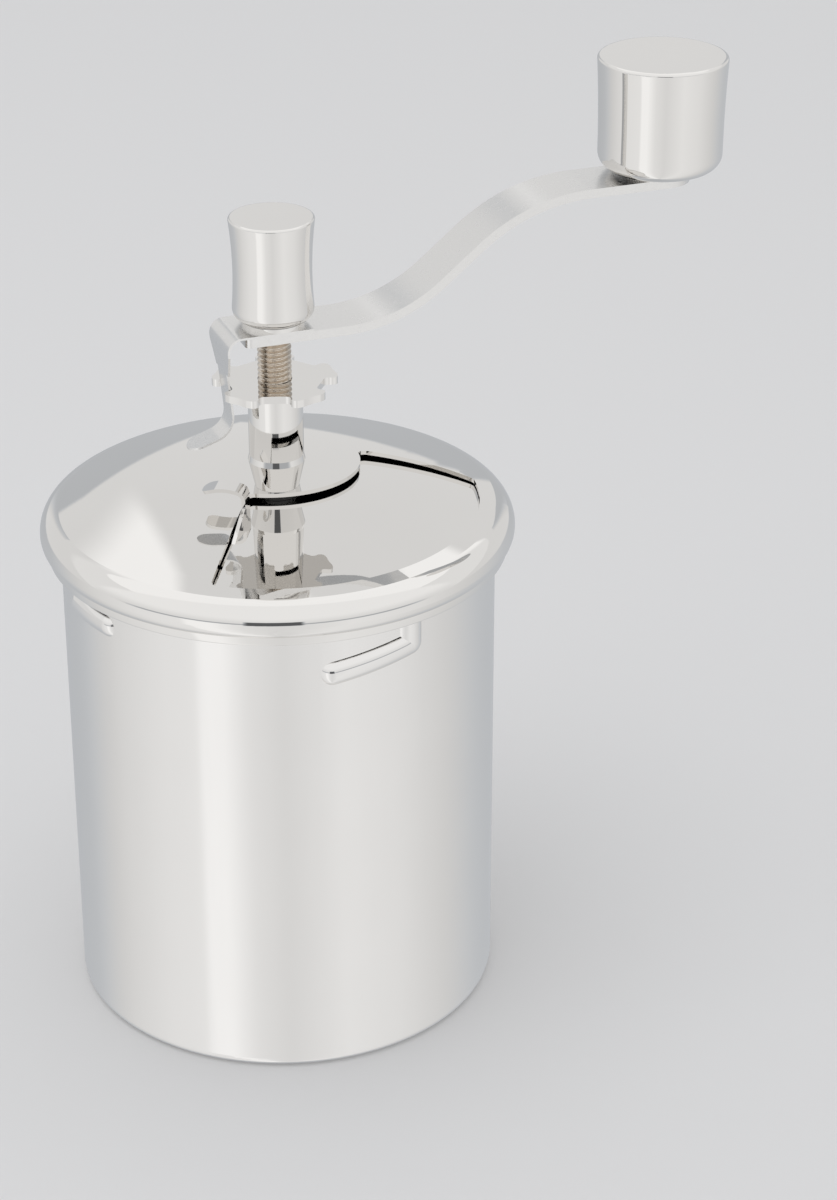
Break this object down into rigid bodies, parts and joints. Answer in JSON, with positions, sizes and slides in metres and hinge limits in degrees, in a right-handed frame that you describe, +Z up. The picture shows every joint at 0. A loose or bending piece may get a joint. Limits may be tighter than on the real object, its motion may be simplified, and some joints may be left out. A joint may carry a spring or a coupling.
{
  "type": "hand crank coffee grinder",
  "caption": "Steel canister coffee grinder: domed lid with a sliding fill shutter, hopper with conical burrs, S-curved crank arm with a turning knob, and a notched wheel that sets the grind.",
  "frame": {"origin": "centre of the canister's base, on the surface it stands on", "axes": "+Z up along the spindle, -Y towards the viewer of the picture, +X to the viewer's right"},
  "size_m": [0.163, 0.1134, 0.2264],
  "materials": {
    "polished_steel": "mirror polished stainless steel",
    "satin_steel": "softly polished stainless steel",
    "inner_steel": "plain drawn or turned steel",
    "thread_steel": "cut thread",
    "burr_steel": "hardened, as cut",
    "bronze": "sintered",
    "seal_rubber": "silicone"
  },
  "bodies": {
    "canister": {"canister": "satin_steel"},
    "seal": {"lid_seal": "seal_rubber"},
    "top": {"lid": "polished_steel", "hopper": "inner_steel", "lid_bush": "polished_steel", "bush_nut": "inner_steel", "pivot_spacer": "inner_steel", "pivot_washer": "inner_steel", "lower_bridge": "inner_steel", "lower_bush": "bronze", "thrust_washer": "inner_steel", "burr_carrier": "inner_steel", "carrier_screws": "inner_steel", "outer_burr": "burr_steel"},
    "shutter": {"shutter": "polished_steel"},
    "adjuster": {"adjuster_sleeve": "polished_steel", "star_wheel": "polished_steel"},
    "crank": {"spindle": "thread_steel", "crank_arm": "polished_steel", "lock_finger": "polished_steel", "knob_washer": "polished_steel", "lock_knob": "polished_steel", "inner_burr": "burr_steel", "burr_washer": "inner_steel", "burr_nut": "inner_steel", "spring_seat": "inner_steel", "burr_spring": "inner_steel", "handle_axle": "polished_steel", "handle_washer": "polished_steel"},
    "handle": {"handle_knob": "polished_steel", "handle_bush": "bronze"}
  },
  "joints": [
    {"name": "seal_rise", "type": "slide", "parent": "canister", "child": "seal", "axis": [0, 0, 1], "range_m": [0, 0.003]},
    {"name": "bayonet_twist", "type": "hinge", "parent": "seal", "child": "top", "pos_m": [0, 0, 0.109], "axis": [0, 0, 1], "range_deg": [0, 20]},
    {"name": "shutter_swing", "type": "hinge", "parent": "top", "child": "shutter", "pos_m": [0, 0, 0.128], "axis": [0, 0, 1], "range_deg": [0, 100]},
    {"name": "crank_turn", "type": "hinge", "parent": "top", "child": "adjuster", "pos_m": [0, 0, 0.139], "axis": [0, 0, 1], "continuous": true},
    {"name": "grind_adjust", "type": "slide", "parent": "adjuster", "child": "crank", "axis": [0, 0, 1], "range_m": [-0.0006, 0.0006], "deforming": ["burr_spring"]},
    {"name": "handle_spin", "type": "hinge", "parent": "crank", "child": "handle", "pos_m": [0.09086, 0.03397, 0.1991], "axis": [0, 0, 1], "continuous": true}
  ],
  "couplings": [
    {"joint": "seal_rise", "follows": "bayonet_twist", "m_per_rad": 0.00845}
  ]
}
